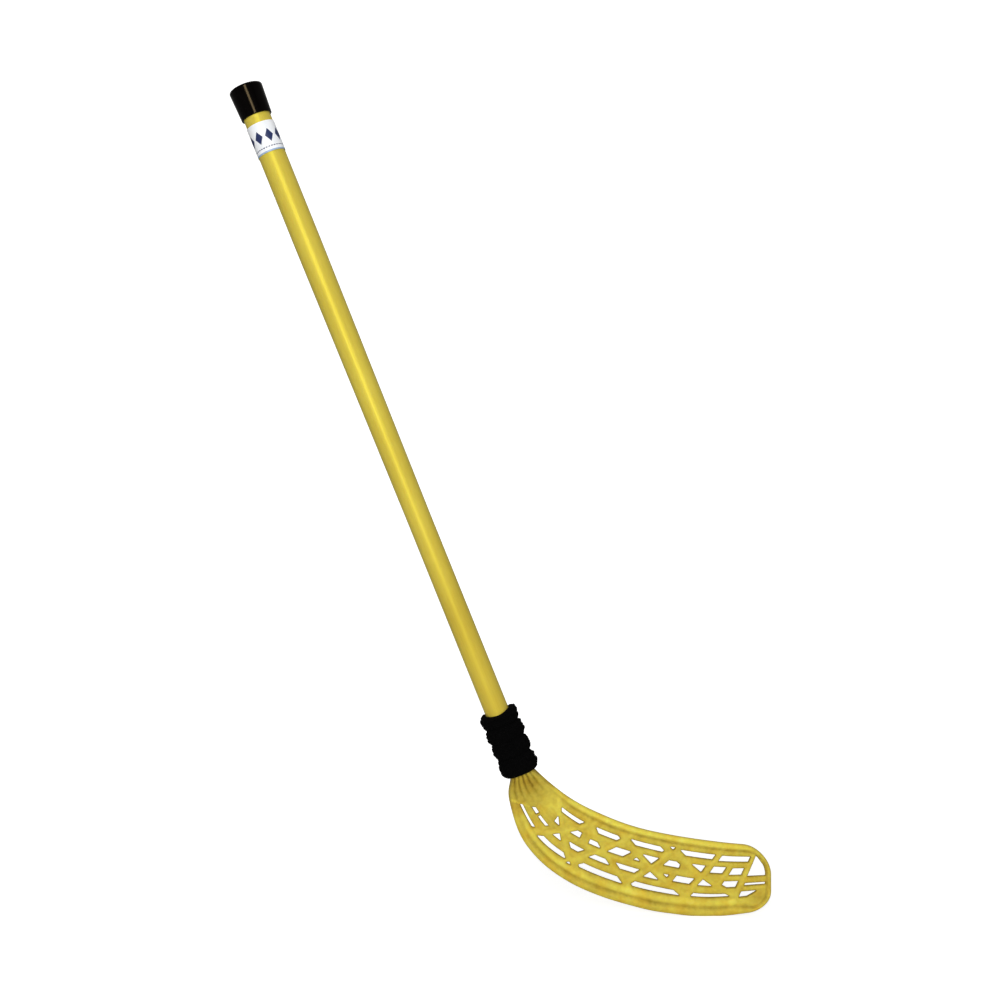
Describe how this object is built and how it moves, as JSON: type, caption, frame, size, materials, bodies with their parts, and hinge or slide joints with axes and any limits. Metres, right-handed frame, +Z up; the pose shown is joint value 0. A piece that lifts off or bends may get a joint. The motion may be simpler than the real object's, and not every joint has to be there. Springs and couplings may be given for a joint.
{
  "type": "hockey stick",
  "caption": "Gym and floor hockey stick: tapered plastic tube shaft, flat lattice blade, ribbed foam collar over the joint and a flared end cap.",
  "frame": {"origin": "the lowest point of the blade's sole, in the middle of its thickness", "axes": "+Z up with the stick in its playing position, +X along the sole towards the toe, Y through the blade's thickness; the shaft leans back towards -X"},
  "size_m": [0.5899, 0.0444, 0.9082],
  "materials": {
    "clear_yellow_plastic": "moulded, satin gloss, slightly translucent",
    "yellow_plastic": "extruded, satin gloss",
    "black_foam": "open-cell foam, matte",
    "black_vinyl": "dipped vinyl, glossy",
    "white_film": "printed film, satin",
    "zinc_steel": "zinc plated"
  },
  "bodies": {
    "root": {"blade": "clear_yellow_plastic", "shaft_tube": "yellow_plastic", "foam_collar": "black_foam", "end_cap": "black_vinyl", "label_band": "white_film", "blade_screw_front": "zinc_steel", "blade_screw_back": "zinc_steel"}
  },
  "joints": []
}
